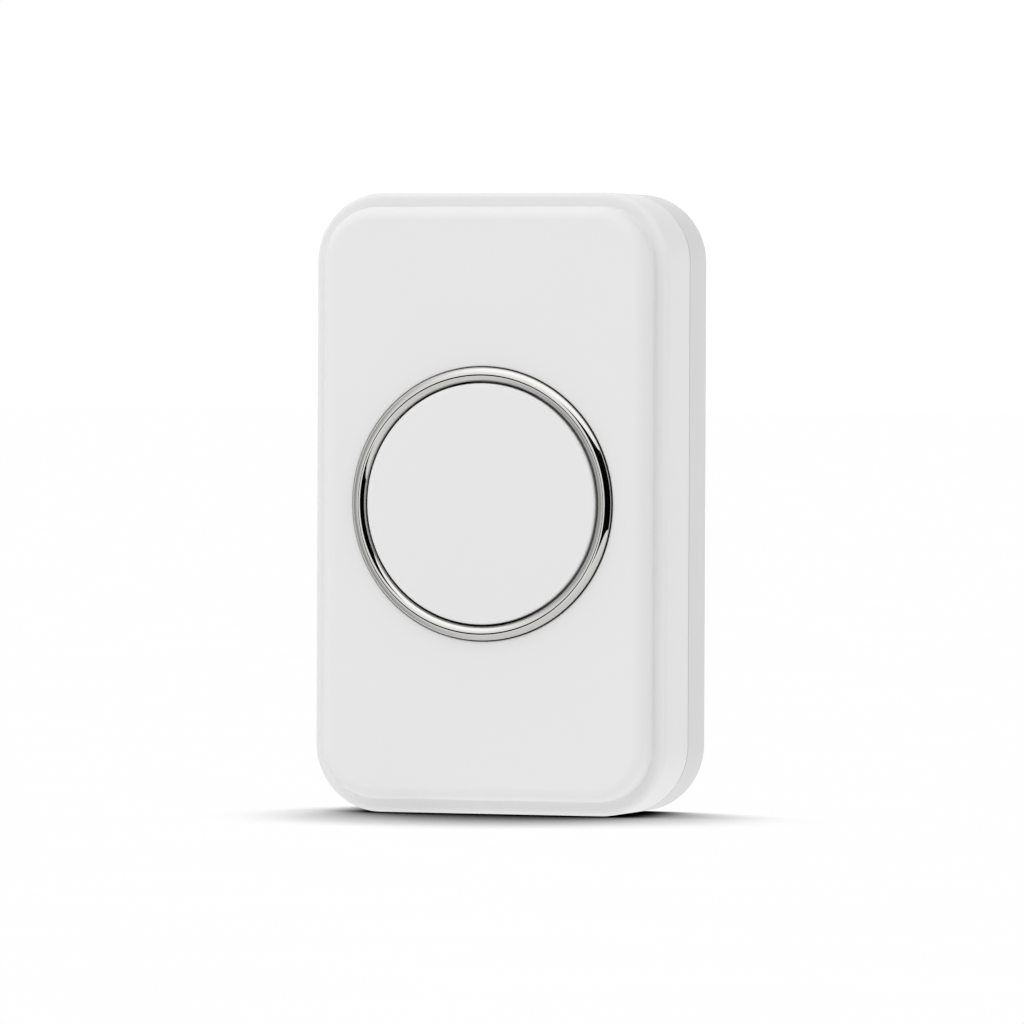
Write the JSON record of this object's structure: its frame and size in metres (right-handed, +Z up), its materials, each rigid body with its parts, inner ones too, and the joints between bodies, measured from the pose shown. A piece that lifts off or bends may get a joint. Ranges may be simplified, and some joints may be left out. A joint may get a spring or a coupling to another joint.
{
  "type": "kinetic doorbell push",
  "caption": "Battery-free doorbell push: upright white case with a raised panel, a chromed ring round a large press button, and a wall plate that pulls off its back.",
  "frame": {"origin": "centre of the bounding box at the bottom end that the push stands on", "axes": "+Z up the case, -Y out of the button's face, +Y towards the wall, +X to the right seen from the front"},
  "size_m": [0.0514, 0.0232, 0.086],
  "materials": {
    "white_case": "satin white moulded plastic",
    "white_button": "satin white moulded plastic",
    "chrome_trim": "bright chrome plating on plastic",
    "white_plate": "matt white moulded plastic",
    "silicone": "grey silicone",
    "foam_tape": "dark closed-cell foam",
    "zinc_steel": "zinc-plated steel",
    "grey_moulding": "grey moulded plastic",
    "black_moulding": "black moulded plastic",
    "natural_nylon": "natural nylon",
    "enamelled_copper": "enamelled copper wire",
    "tinned_brass": "brass",
    "soft_iron": "soft iron",
    "nickel_magnet": "nickel-plated magnet",
    "spring_steel": "bright spring steel",
    "green_board": "green solder mask",
    "black_epoxy": "black epoxy",
    "can_aluminium": "drawn metal can",
    "lead_sleeve": "red wire insulation"
  },
  "bodies": {
    "root": {"front_shell": "white_case", "trim_ring": "chrome_trim", "rear_shell": "white_case", "case_gasket": "silicone", "case_screws": "zinc_steel", "generator_base": "grey_moulding", "generator_screws": "zinc_steel", "coil_bobbin": "natural_nylon", "coil_winding": "enamelled_copper", "terminal_pins": "tinned_brass", "iron_core": "soft_iron", "lever_pin": "spring_steel", "lever_spring": "spring_steel", "return_spring_left": "spring_steel", "return_spring_right": "spring_steel", "circuit_board": "green_board", "board_screws": "zinc_steel", "transmitter_chip": "black_epoxy", "storage_capacitor": "can_aluminium", "crystal_can": "can_aluminium", "rectifier_diodes": "black_epoxy", "antenna_coil": "enamelled_copper", "coil_leads": "lead_sleeve"},
    "button": {"button_cap": "white_button"},
    "lever": {"push_lever": "black_moulding", "snap_leaf": "spring_steel", "leaf_rivets": "tinned_brass"},
    "rocker": {"magnet_rocker": "black_moulding", "magnet": "nickel_magnet", "front_pole_plate": "soft_iron", "rear_pole_plate": "soft_iron"},
    "plate": {"wall_plate": "white_plate", "adhesive_pad": "foam_tape"}
  },
  "joints": [
    {"name": "button_press", "type": "slide", "parent": "root", "child": "button", "axis": [0, 1, 0], "range_m": [0, 0.0022], "stiffness_N_per_m": 2000, "springref_m": -0.001, "deforming": ["return_spring_left", "return_spring_right", "lever_spring"]},
    {"name": "lever_swing", "type": "hinge", "parent": "root", "child": "lever", "pos_m": [0, -0.00066, 0.0225], "axis": [-1, 0, 0], "range_deg": [0, 5.05]},
    {"name": "rocker_tilt", "type": "hinge", "parent": "root", "child": "rocker", "pos_m": [0, 0.00187, 0.028], "axis": [-1, 0, 0], "range_deg": [0, 3.69]},
    {"name": "plate_release", "type": "slide", "parent": "root", "child": "plate", "axis": [0, 1, 0], "range_m": [0, 0.02]}
  ],
  "couplings": [
    {"joint": "lever_swing", "follows": "button_press", "rad_per_m": 40.052},
    {"joint": "rocker_tilt", "follows": "button_press", "rad_per_m": 29.241}
  ]
}
